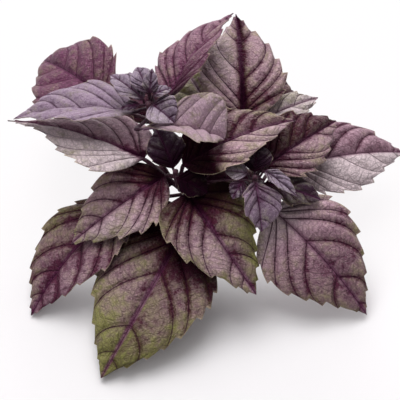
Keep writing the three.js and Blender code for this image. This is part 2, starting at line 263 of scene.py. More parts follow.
class BASIL_PG_leaf(bpy.types.PropertyGroup):
    """Sizes of the leaves' relief and margins."""

    thickness: length_setting("Blade thickness", "Between the veins", 0.36)
    quilting: length_setting("Quilting", "How high a grown blade bulges between its side veins", 1.5)
    tooth_depth: length_setting("Tooth depth", "From tip to notch on a grown leaf", 2.7)
    tooth_spacing: length_setting("Tooth spacing", "Along the margin of a grown leaf", 8.0)
    wave: length_setting("Margin wave", "How far a grown leaf's margin waves up and down", 0.9)
    stalk_radius: length_setting("Leafstalk radius", "Of a grown leaf", 1.0)
    young_stalk_radius: length_setting("Young leafstalk radius", "Of a leaf at a shoot tip", 0.55)
    columns: IntProperty(
        name="Columns", description="Grid columns on each half of a grown blade", default=26, min=8
    )
    rows: IntProperty(name="Rows", description="Grid rows along a grown blade", default=124, min=24)


class BASIL_PG_colours(bpy.types.PropertyGroup):
    """Colours of the bunch."""

    ground: colour_setting("Purple", "Shaded purple of a grown blade", "#480d28")
    bloom: colour_setting("Bloom", "Pale mauve of a blade's raised parts", "#c8a4b2")
    # Pale bloom is also painted light on blades that lie in shade.
    pale: colour_setting("Pale bloom", "Raised parts of the palest blades", "#eadadd")
    # Painted shade: the near-black laid over the parts of blades that lie deepest in shade.
    painted_deep_shade: colour_setting("Deepest purple", "The darkest, freshest blades", "#1c0612")
    purple: colour_setting("Rib purple", "Purple flush round the midrib", "#6a2c58")
    green: colour_setting("Green", "Green that shows through the purple", "#868a3c")
    wine: colour_setting("Wine", "Violet of thin blades", "#9c5c86")
    vein: colour_setting("Veins", "Veins on the upper side", "#2c071a")
    underside: colour_setting("Underside", "Between the veins underneath", "#8b7785")
    underside_vein: colour_setting("Underside veins", "Raised veins underneath", "#5c3350")
    young: colour_setting("Young purple", "Shaded purple of a young blade", "#351a30")
    young_bloom: colour_setting("Young bloom", "Bluish bloom of a young blade", "#b9a5bb")
    edge: colour_setting("Margin", "Pale line along a blade's margin", "#b9a78f")
    stem: colour_setting("Stem", "Stem skin", "#2e0f1e")
    stem_light: colour_setting("Stem ridges", "Stem skin on its corners", "#56223a")
    cut: colour_setting("Cut face", "Pith on a stem's cut end", "#a9ad7c")


class BASIL_PG_stage(bpy.types.PropertyGroup):
    """Camera, floor and lights."""

    elevation: number_setting("Elevation", "Camera's height", math.radians(50), subtype="ANGLE")
    distance: length_setting("Distance", "Camera to the middle of the bunch", 500)
    lens: number_setting("Lens", "Focal length in millimetres", 100)
    floor: colour_setting("Floor", "Matt floor", "#f5f2f4")
    key: number_setting("Key light", "Power of the light overhead", 9.6, unit="POWER")
    back: number_setting("Back light", "Power of the wide light behind", 14.5, unit="POWER")
    fill: number_setting("Fill light", "Power of the light from the front", 3.8, unit="POWER")
    ambient: number_setting("Ambient", "Strength of the even light from all round", 0.03, min=0)


# ---- curves and surfaces


def unit(vectors):
    """Each vector divided by its length; one of no length stays nought."""
    size = np.linalg.norm(vectors, axis=-1, keepdims=True)
    return vectors / np.where(size > 1e-9, size, 1)


def smooth(x, low, high):
    """0 below low, 1 above high, and 3t^2 - 2t^3 of the share t between them."""
    t = np.clip((x - low) / (high - low), 0, 1)
    return t * t * (3 - 2 * t)


def bell(x, width):
    """1 at nought, and exp(-(x / width)^2) on both sides of it."""
    return np.exp(-((x / width) ** 2))


def stem_curve(points):
    """Points and arc lengths along a centripetal Catmull-Rom curve: between two knots, the cubic whose
    end slopes are the nonuniform ones for knot spacings of the square root of their distances."""
    p = np.array(points, float)
    p = np.vstack([2 * p[0] - p[1], p, 2 * p[-1] - p[-2]])
    step = np.linalg.norm(np.diff(p, axis=0), axis=1)[:, None] ** 0.5
    t = np.linspace(0, 1, 60, endpoint=False)[:, None]
    pieces = []
    for i in range(1, len(p) - 2):
        a, b, c = step[i - 1], step[i], step[i + 1]
        before = ((p[i] - p[i - 1]) / a - (p[i + 1] - p[i - 1]) / (a + b) + (p[i + 1] - p[i]) / b) * b
        after = ((p[i + 1] - p[i]) / b - (p[i + 2] - p[i]) / (b + c) + (p[i + 2] - p[i + 1]) / c) * b
        rise = p[i + 1] - p[i]
        square = 3 * rise - 2 * before - after
        cube = before + after - 2 * rise
        pieces.append(p[i] + before * t + square * t**2 + cube * t**3)
    path = np.vstack([*pieces, p[-2:-1]])
    run = np.concatenate([[0], np.cumsum(np.linalg.norm(np.diff(path, axis=0), axis=1))])
    return path, run


def between(vectors, knots, x):
    """The vector at x, each of its parts linear between the vectors that are given at the knots."""
    return np.stack([np.interp(x, knots, vectors[:, k]) for k in range(3)], -1)


def along(path, run, distance):
    """Point and direction at a distance along a path given by its points and their arc lengths."""
    return between(path, run, distance), unit(between(np.gradient(path, run, axis=0), run, distance))


def stem_radius(distance, length, nodes):
    """Radius at a distance below the shoot tip: an even taper, with a bell-shaped swelling at each
    node."""
    plain = STEM_TIP_RADIUS + (STEM_CUT_RADIUS - STEM_TIP_RADIUS) * distance / length
    swelling = bell(distance[..., None] - nodes, NODE_REACH).max(-1)
    return plain * (1 + NODE_SWELLING * swelling)


def outline(leaf, s):
    """Share of a blade's half width at a share s of its length: s^a (1 - s)^b, 1 at its widest."""
    widest = leaf.widest
    a, b = widest * leaf.pointedness, (1 - widest) * leaf.pointedness
    return s**a * (1 - s) ** b / (widest**a * (1 - widest) ** b)


def across_blade(fold, t):
    """How far out and how high a half blade is at a share t of its width: it leaves the midrib at the
    fold angle and follows a circular arc that bends down by the curl."""
    f, c = math.radians(fold), math.radians(BLADE_CURL)
    return (math.sin(f) - np.sin(f - c * t)) / c, (np.cos(f - c * t) - math.cos(f)) / c


def settled(z, level):
    """A height eased by a parabola so that what would sink below the level lies on it."""
    eased = level + (z - level + SETTLE) ** 2 / (4 * SETTLE)
    return np.where(z - level > SETTLE, z, np.where(z - level < -SETTLE, level, eased))


def midrib_direction(leaf, s):
    """Direction of the midrib, from a heading and a rise that change evenly along it."""
    heading = np.radians(leaf.heading + leaf.turn * s)
    rise = np.radians(leaf.rise - leaf.droop * s)
    return np.stack([np.cos(rise) * np.cos(heading), np.cos(rise) * np.sin(heading), np.sin(rise)], -1)


def blade_sides(leaf, s):
    """A blade's right-hand and upper directions: level and upright, turned about the midrib by the
    roll."""
    ahead = midrib_direction(leaf, s)
    level = unit(np.cross(ahead, (0.0, 0.0, 1.0)))
    roll = math.radians(leaf.roll)
    right = level * math.cos(roll) + np.cross(ahead, level) * math.sin(roll)
    return right, np.cross(right, ahead)


def midrib_point(leaf, s):
    """Place on the midrib: the base plus the direction summed along the length."""
    steps = np.linspace(0, 1, 201)
    middles = (steps[1:] + steps[:-1]) / 2
    moves = midrib_direction(leaf, middles) * leaf.length / 200
    path = np.vstack([np.zeros(3), np.cumsum(moves, axis=0)]) + np.array(leaf.base, float)
    return between(path, steps, s)


def stalk_centres(leaf, stem, radius):
    """Centreline of a leafstalk: straight out of the stem, and then a cubic Bezier curve that leaves it
    square to the stem and arrives along the midrib. Returns points, right and upper directions."""
    path, run, nodes = stem
    joint, downwards = along(path, run, np.array(float(leaf.node)))
    axis = -downwards
    base = np.array(leaf.base, float)
    towards = base - joint
    towards = unit(towards - towards.dot(axis) * axis)
    stem_half = float(stem_radius(np.array(float(leaf.node)), run[-1], nodes))
    foot = joint + towards * (stem_half * (1 + STEM_SQUARENESS) + JOINT_GAP)
    reach = np.linalg.norm(foot - base) / 3
    ahead = midrib_direction(leaf, 0.0)
    controls = np.array([foot, foot + towards * reach, base - ahead * reach, base])
    t = np.linspace(0, 1, max(8, round(reach * 3 / radius)))[:, None]
    curve = (
        controls[0] * (1 - t) ** 3
        + controls[1] * 3 * t * (1 - t) ** 2
        + controls[2] * 3 * t**2 * (1 - t)
        + controls[3] * t**3
    )
    inside = joint + towards * stem_half * np.array([[0.3], [0.7], [1.0]])
    points = np.vstack([inside, curve])
    direction = unit(np.gradient(points, axis=0))
    direction[-1] = ahead
    above_base = blade_sides(leaf, 0.0)[1]
    share = np.linspace(0, 1, len(points))[:, None]
    right = unit(np.cross(direction, axis * (1 - share) + above_base * share))
    right[-1] = blade_sides(leaf, 0.0)[0]
    return points[:-1], right[:-1], np.cross(right, direction)[:-1]


def side_veins(rng, leaf, margin):
    """Grid rows that the side veins of one half follow, from where along the margin each arrives."""
    arrivals = YOUNG_VEINS if leaf.length < FEW_VEINS_LENGTH else GROWN_VEINS
    arrivals = np.array(arrivals) + rng.uniform(-VEIN_UNEVENNESS, VEIN_UNEVENNESS, len(arrivals))
    return np.unique(np.searchsorted(margin, arrivals))


def teeth(rng, rows, spacing):
    """For one margin: how far out each row stands, from 0 in a notch to 1 at a tooth's tip. A tooth
    rises over its rows towards the leaf's tip as the share of the way to the power 1.3, and falls back
    in one row."""
    out = np.zeros(rows + 1)
    at = int(TEETH_FROM * rows)
    while True:
        count = max(3, round(spacing * rng.uniform(0.7, 1.35)))
        if at + count >= TEETH_TO * rows:
            return out
        size = rng.uniform(0.6, 1.0)
        out[at : at + count] = size * np.linspace(0, 1, count) ** 1.3
        at += count


def vein_distance(points, veins):
    """Distance of each grid point of a half blade to its nearest side vein: the part of the way to a
    vein's point in the same column that is square to the vein."""
    nearest = np.full(points.shape[:2], 1e3)
    for row in veins:
        course = unit(np.gradient(points[row], axis=0))
        away = np.linalg.norm(np.cross(points - points[row], course), axis=-1)
        nearest = np.minimum(nearest, away)
    return nearest


def blade_grid(leaf, index, shape, rows, columns, scale):
    """A blade's middle surface and what its relief and colours follow.

    Rows run along the side veins: the row that reaches the margin at a share m of the length starts on
    the midrib at m^(1 + VEIN_SWEEP (1 - m)), and in between moves from one to the other by 0.8 of the
    share across and 0.2 of its square. Columns are closer together at the midrib and at the margin. A
    tooth juts out by the power 9 of the share across, and the margin waves by its power 2.5.
    """
    rng = np.random.default_rng([SEED, index])
    t = np.linspace(0, 1, rows + 1)
    margin = (t + (1 - np.cos(math.pi * t)) / 2) / 2
    start = margin ** (1 + VEIN_SWEEP * (1 - margin))
    k = np.linspace(0, 1, columns + 1)
    half = k - np.sin(2 * math.pi * k) / (4 * math.pi)
    v = np.concatenate([-half[:0:-1], half])
    share = np.abs(v)
    side = (v > 0).astype(int)

    margin_length = leaf.length * MARGIN_STRETCH
    spacing = shape.tooth_spacing / MM * scale / margin_length * rows
    tooth = np.stack([teeth(rng, rows, spacing) for _ in (0, 1)])
    depth = shape.tooth_depth / MM * scale**2
    if leaf.name in SMALL_TEETH:
        depth *= SMALL_TOOTH
    jut = (tooth[side].T - 0.4) * depth * share**9
    jut *= smooth(margin, 0.05, 0.2)[:, None] * smooth(1 - margin, 0.0, 0.08)[:, None]

    s = start[:, None] + (margin - start)[:, None] * (0.8 * share + 0.2 * share**2)
    s = np.clip(s + np.maximum(jut, 0) * 0.6 / leaf.length, 0, 1)
    lopsided = 1 + rng.uniform(-LOPSIDEDNESS, LOPSIDEDNESS) * np.sign(v)
    width = leaf.width / 2 * outline(leaf, s) * lopsided
    out, lift = across_blade(leaf.fold, share)
    right, above = blade_sides(leaf, s)
    middle = midrib_point(leaf, s)

    waves = rng.uniform(*MARGIN_WAVES, 2)
    phase = rng.uniform(0, 2 * math.pi, 2)
    wave = np.sin(2 * math.pi * waves[side] * margin[:, None] + phase[side]) * share**2.5
    height = shape.wave / MM * scale
    wave *= height * smooth(margin, 0.0, 0.25)[:, None] * smooth(1 - margin, 0.0, 0.2)[:, None]
    across = (width * out + jut) * np.sign(v)
    points = middle + right * across[..., None] + above * (width * lift + wave)[..., None]

    veins = [side_veins(rng, leaf, margin) for _ in (0, 1)]
    left = vein_distance(points[:, : columns + 1], veins[0])
    right_half = vein_distance(points[:, columns:], veins[1])
    vein = np.concatenate([left[:, :columns], right_half], axis=1)
    gaps = np.linalg.norm(np.diff(points, axis=1), axis=-1)
    reach_left = np.cumsum(gaps[:, :columns][:, ::-1], axis=1)[:, ::-1]
    reach_right = np.cumsum(gaps[:, columns:], axis=1)
    run = np.concatenate([reach_left, np.zeros((rows + 1, 1)), reach_right], axis=1)
    return {
        "points": points,
        "right": right,
        "above": above,
        "s": s,
        "v": np.broadcast_to(v, s.shape),
        "across": run * np.sign(v),
        "vein": vein,
        "run": run + 0.75 * start[:, None] * leaf.length,
    }


def leaf_rings(leaf, index, stem, shape, rows, columns, scale, stalk_radius):
    """Closed sections of a leaf, from inside the stem to its tip, with the colour attributes.

    The middle surface is moved along its own normal. Upwards it bulges between side veins by
    A (1 - (1 - d / D)^2), where d is the distance to the nearest vein and D is half the usual gap
    between two, and sinks into a groove at the midrib. The underside carries the midrib as a rounded
    rib that tapers, and each side vein as a ridge. On the leafstalk the section is round, and over the
    first millimetres of blade it turns into the blade's.
    """
    grid = blade_grid(leaf, index, shape, rows, columns, scale)
    points, s, v, vein = grid["points"], grid["s"], grid["v"], grid["vein"]
    share, x = np.abs(v), np.abs(grid["across"])
    joined = np.exp(-s * leaf.length / (1.2 * stalk_radius))
    points = points + grid["right"] * (stalk_radius * np.sin(math.pi * v / 2) * joined)[..., None]
    half = shape.thickness / MM / 2 * (0.6 + 0.4 * scale)
    points[..., 2] = settled(points[..., 2], half)
    normal = np.cross(np.gradient(points, axis=1), np.gradient(points, axis=0))
    flat = np.linalg.norm(normal, axis=-1, keepdims=True) < 1e-7
    normal = unit(np.where(flat, grid["above"], normal))

    height = shape.quilting / MM * scale
    bulge = height * (1 - (1 - np.minimum(vein / (HALF_VEIN_GAP * scale), 1)) ** 2)
    bulge *= 1 - bell(x, FLAT_BY_MIDRIB * scale)
    bulge *= (1 - 0.75 * share**5) * smooth(s, 0.0, 0.06) * (1 - 0.5 * smooth(s, 0.8, 1.0))
    rib = stalk_radius + (RIB_TIP_RADIUS * scale - stalk_radius) * s**0.7
    groove = bell(x, GROOVE_WIDTH * scale) * GROOVE_DEPTH * scale
    vein_line = bell(vein, VEIN_WIDTH * scale) * (1 - share**3)
    top = half - groove - vein_line * VEIN_SINK * scale
    under = half + (rib - half) * bell(x, 0.8 * rib) + vein_line * VEIN_RISE * scale
    round_half = stalk_radius * np.cos(math.pi * v / 2)
    stalk_like = bell(s * leaf.length, 2.5 * stalk_radius)
    top = top * (1 - stalk_like) + 0.8 * round_half * stalk_like
    under = under * (1 - stalk_like) + round_half * stalk_like
    edge = share >= 1
    top, under = np.where(edge, 0, top), np.where(edge, 0, under)

    # The leafstalk: a little thicker in the stem, and again where the blade begins.
    centres, stalk_right, stalk_above = stalk_centres(leaf, stem, stalk_radius)
    columns_v = v[0]
    distance = np.linalg.norm(centres - centres[0], axis=1)
    thickening = 0.35 * np.exp(-distance / 1.8)
    radius = stalk_radius * (0.88 + thickening + 0.12 * smooth(np.linspace(0, 1, len(centres)), 0.6, 1))
    radius = radius[:, None]
    sideways = radius * np.sin(math.pi * columns_v / 2)
    stalk_points = centres[:, None] + stalk_right[:, None] * sideways[..., None]
    stalk_normal = np.broadcast_to(stalk_above[:, None], stalk_points.shape)
    stalk_round = radius * np.cos(math.pi * columns_v / 2)

    def stack(stalk_part, blade_part):
        return np.concatenate([stalk_part, blade_part], axis=0)

    nought = np.zeros(stalk_round.shape)
    middle = stack(stalk_points, points + normal * bulge[..., None])
    normals = stack(stalk_normal, normal)
    upper = middle + normals * stack(0.8 * stalk_round, top)[..., None]
    lower = middle - normals * stack(stalk_round, under)[..., None]
    upper[..., 2] = np.maximum(upper[..., 2], 0.02)
    lower[..., 2] = np.maximum(lower[..., 2], 0.0)

    tone = TONES.get(leaf.name, YOUNG_TONE if scale < 1 else LOW_TONE)
    green = (
        tone.green
        + tone.tip * s**2.5
        + tone.left * np.maximum(-v, 0)
        + tone.right * np.maximum(v, 0)
        + tone.margin * share**3
    )
    # Painted shade darkens the base of the blade, and below nought painted light lightens it there; one
    # half gets painted light and the other painted shade.
    light = tone.light - tone.deep * bell(s, PAINTED_SHADE_BASE_SHARE) + tone.half * np.clip(v * 5, -1, 1)
    light = light - tone.rib * bell(x, DARK_RIB * scale)
    back = -(distance[-1] - distance)[:, None] + nought
    far = nought + 9  # a leafstalk has no side veins
    attributes = {
        # Millimetres across from the midrib and along from the blade's base, and the share across.
        "leaf_place": (
            stack(columns_v * radius, grid["across"]),
            stack(back, s * leaf.length),
            stack(nought, share),
        ),
        # Millimetres to the nearest side vein and outwards along it, and the share of the length.
        "leaf_veins": (
            stack(far, vein * (1 + tone.faint)), stack(nought, grid["run"]), stack(nought, s)
        ),
        # How green, how light and how violet the skin is; how light holds the bloom together with painted
        # light and painted shade.
        "leaf_tone": (
            stack(nought, green), stack(nought, light), stack(nought, np.full(s.shape, tone.wine))
        ),
    }
    return upper, lower, {key: np.stack(values, -1) for key, values in attributes.items()}


def around(upper, lower):
    """One closed ring for each row: over the top from the left margin to the right, and back
    underneath."""
    return np.concatenate([upper, lower[:, -2:0:-1]], axis=1)


def ring_faces(count, sides):
    """Four-sided faces between neighbouring closed rings, as numbers of the rings' points in order."""
    j, k = np.meshgrid(np.arange(count - 1) * sides, np.arange(sides), indexing="ij")
    after = (k + 1) % sides
    return np.stack([j + k, j + after, j + sides + after, j + sides + k], -1).reshape(-1, 4)


def closed_mesh(name, rings, attributes, materials, material_of_column, sharp_degrees):
    """A mesh from closed rings of points: a face between each two neighbours along and around, and a
    fan to a pole at each end. Attributes are vectors with one row for each ring."""
    count, sides = rings.shape[:2]
    poles = np.stack([rings[0].mean(0), rings[-1].mean(0)])
    vertices = np.vstack([rings.reshape(-1, 3), poles])
    k = np.arange(sides)
    after = (k + 1) % sides
    first = count * sides
    last_ring = (count - 1) * sides
    caps = np.vstack([
        np.stack([after, k, np.full(sides, first)], -1),
        np.stack([last_ring + k, last_ring + after, np.full(sides, first + 1)], -1),
    ])
    mesh = bpy.data.meshes.new(name)
    mesh.from_pydata((vertices + CENTRE) * MM, [], ring_faces(count, sides).tolist() + caps.tolist())
    mesh.polygons.foreach_set("material_index", np.tile(material_of_column, count + 1).astype(np.int32))
    mesh.polygons.foreach_set("use_smooth", np.ones(len(mesh.polygons), bool))
    for key, values in attributes.items():
        data = np.vstack([values.reshape(-1, 3), values[0].mean(0), values[-1].mean(0)])
        attribute = mesh.attributes.new(key, "FLOAT_VECTOR", "POINT")
        attribute.data.foreach_set("vector", data.astype(np.float32).ravel())
    for material in materials:
        mesh.materials.append(material)
    mesh.set_sharp_from_angle(angle=math.radians(sharp_degrees))
    mesh.update()
    return mesh


# ---- materials


def add(tree, kind, inputs=None, **settings):
    """Adds a shader node of this kind with its settings. Inputs go by name or number, and are a value,
    a socket, or a node whose first output is used."""
    node = tree.nodes.new("ShaderNode" + kind)
    for key, value in settings.items():
        setattr(node, key, value)
    for key, value in (inputs or {}).items():
        if isinstance(value, bpy.types.Node):
            value = value.outputs[0]
        if isinstance(value, bpy.types.NodeSocket):
            tree.links.new(value, node.inputs[key])
        else:
            node.inputs[key].default_value = value
    return node


def new_material(name):
    """An empty material, and a shorthand that adds a node to it."""
    material = bpy.data.materials.new(name)
    material.use_nodes = True
    material.node_tree.nodes.clear()
    return material, partial(add, material.node_tree)


def rgba(colour):
    return (*colour, 1.0)


def parts_of(put, attribute):
    """The three numbers of a mesh attribute, as sockets X, Y and Z."""
    source = put("Attribute", attribute_name=attribute)
    return put("SeparateXYZ", {0: source.outputs["Vector"]}).outputs


def weighted_sum(put, start, terms):
    """Start plus each socket times its weight."""
    total = start
    for socket, weight in terms:
        total = put("Math", {0: socket, 1: weight, 2: total}, operation="MULTIPLY_ADD")
    return total


def seen_directly(put):
    """1 for what the camera, a reflection or glass shows, and 0 for light that falls on the bunch."""
    path = put("LightPath").outputs
    seen = path["Is Camera Ray"]
    for ray in ("Is Glossy Ray", "Is Transmission Ray"):
        seen = put("Math", {0: seen, 1: path[ray]}, operation="MAXIMUM").outputs[0]
    return seen


def leaf_skin(name, colours, own, raised, fineness):
    """Living leaf skin. Dark purple with a waxy bloom that pales and dulls its raised parts, laid on
    with painted light on the swells between the veins and painted shade in the hollows beside them and
    where a blade lies in shade, green showing through in patches, dark veins in four orders, and a thin
    blade that lets light through."""
    ground, bloom, pale, purple, vein = (rgba(colour) for colour in own)
    wine = rgba(colours.wine)
    material, put = new_material(name)
    place, veins, tone = (parts_of(put, key) for key in ("leaf_place", "leaf_veins", "leaf_tone"))
    spot = put("TexCoord").outputs["Object"]
    size = MM * fineness

    # Patches about 9 mm wide, mottling of 2.6 mm, and a grain of 0.8 mm. A real skin's cells are finer
    # than this grain, which is as coarse as it needs to be to show.
    cloud, mottle, grain = (
        put("TexNoise", {"Vector": spot, "Scale": 1 / (width * size), "Detail": detail})
        for width, detail in ((9, 3.0), (2.6, 2.0), (0.8, 3.0))
    )

    # Millimetres from the midrib and from a side vein, stretched so that both veins narrow outwards.
    narrowing = put("Math", {0: veins["Z"], 1: 1.4, 2: 0.8}, operation="MULTIPLY_ADD")
    to_rib = put("Math", {0: place["X"]}, operation="ABSOLUTE")
    to_rib = put("Math", {0: to_rib, 1: narrowing}, operation="MULTIPLY")
    thinning = put("Math", {0: place["Z"], 1: 0.8, 2: 0.8}, operation="MULTIPLY_ADD")
    wobble = {0: grain, 1: 0.3 * fineness, 2: -0.15 * fineness}
    wobble = put("Math", wobble, operation="MULTIPLY_ADD")
    to_side = put("Math", {0: veins["X"], 1: thinning, 2: wobble}, operation="MULTIPLY_ADD")

    # Cross veins: the edges of cells about 2.9 mm wide, laid out along and away from the side veins.
    # Net: the edges of cells about 1.3 mm wide, coarser than a real leaf's so that they show.
    away = put("Math", {0: veins["X"], 1: 0.6}, operation="MULTIPLY")
    level = put("Math", {0: cloud, 1: 9.0 * fineness}, operation="MULTIPLY")
    cell_at = put("CombineXYZ", {"X": veins["Y"], "Y": away, "Z": level})
    cells, net = (
        put("TexVoronoi", {"Vector": at, "Scale": 1 / width}, feature="DISTANCE_TO_EDGE")
        for at, width in ((cell_at, 2.9 * fineness), (spot, 1.3 * size))
    )

    # How strongly each marking shows: the last number where what it follows is at the first one,
    # easing to nought where it is at the second.
    markings = {
        "rib": (to_rib, 0.2 * fineness, 0.7 * fineness, 1.0),
        "rib flush": (to_rib, 0.3 * fineness, 3.4 * fineness, 0.6),
        "side": (to_side, 0.08 * fineness, 0.42 * fineness, 1.0),
        "side flush": (to_side, 0.1 * fineness, 1.1 * fineness, 0.22),
        # Painted highlight: a pale band beside each side vein, as a ridge lit from above would show.
        "painted ridge highlight": (to_side, 0.7 * fineness, 1.7 * fineness, 0.22),
        "cross": (cells.outputs["Distance"], 0.015, 0.11, 1.0),
        "net": (net.outputs["Distance"], 0.02, 0.14, 1.0),
        # Pale bloom, which on the blades that lie in shade is painted light as well.
        "pale": (tone["Y"], 4.2, 1.4, 0.92),
        # Painted shade: near-black where a blade's light falls lowest.
        "painted_deep_shade": (tone["Y"], -1.5, -0.1, 0.88),
        "gloss": (tone["Y"], -0.1, -1.3, 0.5),
        "margin": (place["Z"], 0.998, 0.972, 0.7),
        "stalk": (place["Y"], -0.5, 2.5, 1.0),
    }
    show = {}
    for marking, (follows, full, none, most) in markings.items():
        ends = {"Value": follows, "From Min": full, "From Max": none, "To Min": most, "To Max": 0.0}
        show[marking] = put("MapRange", ends, interpolation_type="SMOOTHSTEP")

    # Light: how much bloom lies over the purple, with painted light and shade laid in. It is least in the
    # hollows by the side veins and most on the swells between them, which paints shade into the hollows
    # and light onto the swells; the band beside each vein is a painted highlight, each blade's own number
    # brings the painted light and shade set for it, and it grows towards the margin.
    painted_swell_shading = {"Value": veins["X"], "From Max": 1.9 * fineness, "To Min": -0.62, "To Max": 0.28}
    bloom_and_painted_light = [(tone["Y"], 0.45), (show["painted ridge highlight"], 1.0), (cloud, 1.4), (mottle, 1.2), (grain, 0.9)]
    light = weighted_sum(put, put("MapRange", painted_swell_shading), [*bloom_and_painted_light, (place["Z"], 0.35)])
    light = put("Math", {0: light, 1: -1.8}, operation="ADD", use_clamp=True)
    paling = put("Math", {0: light, 1: show["pale"]}, operation="MULTIPLY")
    flush = put("Math", {0: tone["Z"], 1: 0.75}, operation="MULTIPLY", use_clamp=True)

    # Green: in patches, and least near the veins.
    more = put("Math", {0: tone["X"], 1: 0.4}, operation="SUBTRACT")
    less = put("Math", {0: show["side flush"], 1: show["rib flush"]}, operation="MAXIMUM")
    greening = weighted_sum(put, -0.55, [(cloud, 1.1), (mottle, 0.8), (more, 1.0), (less, -1.0)])
    ends = {"Value": greening, "From Min": 0.85, "From Max": -0.15, "To Min": 0.9, "To Max": 0.0}
    greening = put("MapRange", ends, interpolation_type="SMOOTHSTEP")
    # The green darkens with the same light, and so with its painted shade too.
    greens = {0: light, 6: rgba([c * 0.45 for c in colours.green]), 7: rgba(colours.green)}
    green = put("Mix", greens, data_type="RGBA").outputs[2]

    # Veins: the darkest of the four orders, each at its own strength.
    dark = show["side flush"]
    for order, strength in (("rib", 0.8), ("side", 0.85), ("cross", 0.3), ("net", 0.26)):
        line = put("Math", {0: show[order], 1: strength}, operation="MULTIPLY")
        dark = put("Math", {0: dark, 1: line}, operation="MAXIMUM")

    # Colour in layers, each laid over the ones before by its share. The bloom and pale layers carry
    # painted light and painted shade as well as the skin's own bloom, and the near-black layer is painted
    # shade.
    layers = (
        (light, bloom),
        (paling, pale),
        (flush, wine),
        (greening, green),
        (show["rib flush"], purple),
        (dark, vein),
        (show["painted_deep_shade"], rgba(colours.painted_deep_shade)),
        (show["margin"], rgba(colours.edge)),
        (show["stalk"], rgba(colours.stem)),
    )
    colour = ground
    for share, over in layers:
        colour = put("Mix", {0: share, 6: colour, 7: over}, data_type="RGBA").outputs[2]

    # Relief in millimetres: veins sink above and stand out below, and the skin puckers between them.
    sign = 1.0 if raised else -1.0
    relief = put("Math", {0: show["side"], 1: 0.25 * sign}, operation="MULTIPLY")
    fine = ((show["cross"], 0.22 * sign), (show["net"], 0.1 * sign), (grain, 0.35), (mottle, 0.9))
    relief = weighted_sum(put, relief, [(order, depth * fineness) for order, depth in fine])
    bump = put("Bump", {"Strength": 1.0, "Distance": MM, "Height": relief})
    wax = {"Value": cloud, "From Min": 0.3, "From Max": 0.7, "To Min": 0.3, "To Max": 0.42}
    skin = put("BsdfPrincipled", {
        "Base Color": colour,
        "Roughness": put("MapRange", wax),
        "IOR": 1.45,
        "Specular IOR Level": show["gloss"],
        "Specular Tint": bloom,
        "Sheen Weight": 0.05,
        "Sheen Roughness": 0.4,
        "Sheen Tint": bloom,
        "Normal": bump,
    })
    warmed = put("Mix", {0: 0.5, 6: colour, 7: wine}, data_type="RGBA").outputs[2]
    through = put("BsdfTranslucent", {"Color": warmed, "Normal": bump})
    put("OutputMaterial", {"Surface": put("MixShader", {0: 0.12, 1: skin, 2: through})})
    return material


def leaf_materials(colours, young):
    """The upper and lower skins of a grown or a young leaf, made once and shared."""
    name = "Young basil leaf" if young else "Purple basil leaf"
    if name not in bpy.data.materials:
        fineness = 0.6 if young else 1.0
        ground = colours.young if young else colours.ground
        bloom = colours.young_bloom if young else colours.bloom
        under, under_vein = colours.underside, colours.underside_vein
        upper = (ground, bloom, colours.pale, colours.purple, colours.vein)
        lower = (under, bloom, bloom, under_vein, under_vein)
        leaf_skin(name, colours, upper, False, fineness)
        leaf_skin(f"{name} underside", colours, lower, True, fineness)
    return [bpy.data.materials[name], bpy.data.materials[f"{name} underside"]]


def stem_skin(colours):
    """Stem skin. Smooth and slightly waxy wine purple, paler and redder on the four corners, with fine
    lengthwise streaks about 0.4 mm apart."""
    material, put = new_material("Purple basil stem skin")
    place = parts_of(put, "stem_place")
    spot = put("TexCoord").outputs["Object"]
    cloud = put("TexNoise", {"Vector": spot, "Scale": 1 / (6 * MM), "Detail": 3.0})
    lengthwise = put("Math", {0: place["Y"], 1: 0.08}, operation="MULTIPLY")
    streak_at = put("CombineXYZ", {"X": place["X"], "Y": lengthwise})
    streak = put("TexNoise", {"Vector": streak_at, "Scale": 1 / 0.4, "Detail": 2.0})
    corner = weighted_sum(put, -0.35, [(place["Z"], 0.55), (cloud, 0.7), (streak, 0.5)])
    corner.use_clamp = True
    ends = {0: corner, 6: rgba(colours.stem), 7: rgba(colours.stem_light)}
    colour = put("Mix", ends, data_type="RGBA").outputs[2]
    bump = put("Bump", {"Strength": 0.6, "Distance": 0.2 * MM, "Height": streak})
    wax = {"Roughness": 0.42, "IOR": 1.42, "Sheen Weight": 0.1}
    skin = put("BsdfPrincipled", {"Base Color": colour, "Normal": bump, **wax})
    put("OutputMaterial", {"Surface": skin})
    return material


def cut_stem(colours):
    """Freshly cut stem. Moist pale green pith inside a darker ring under the skin, with pores about
    0.35 mm wide."""
    material, put = new_material("Cut basil stem")
    place = parts_of(put, "stem_place")
    spot = put("TexCoord").outputs["Object"]
    pores = put("TexVoronoi", {"Vector": spot, "Scale": 1 / (0.35 * MM)})
    ring = put("MapRange", {"Value": place["Z"], "From Min": 0.6, "From Max": 0.95})
    ends = {0: ring, 6: rgba(colours.cut), 7: rgba(colours.stem_light)}
    colour = put("Mix", ends, data_type="RGBA").outputs[2]
    bump = put("Bump", {"Strength": 0.5, "Distance": 0.1 * MM, "Height": pores.outputs["Distance"]})
    skin = put("BsdfPrincipled", {"Base Color": colour, "Roughness": 0.35, "Normal": bump})
    put("OutputMaterial", {"Surface": skin})
    return material


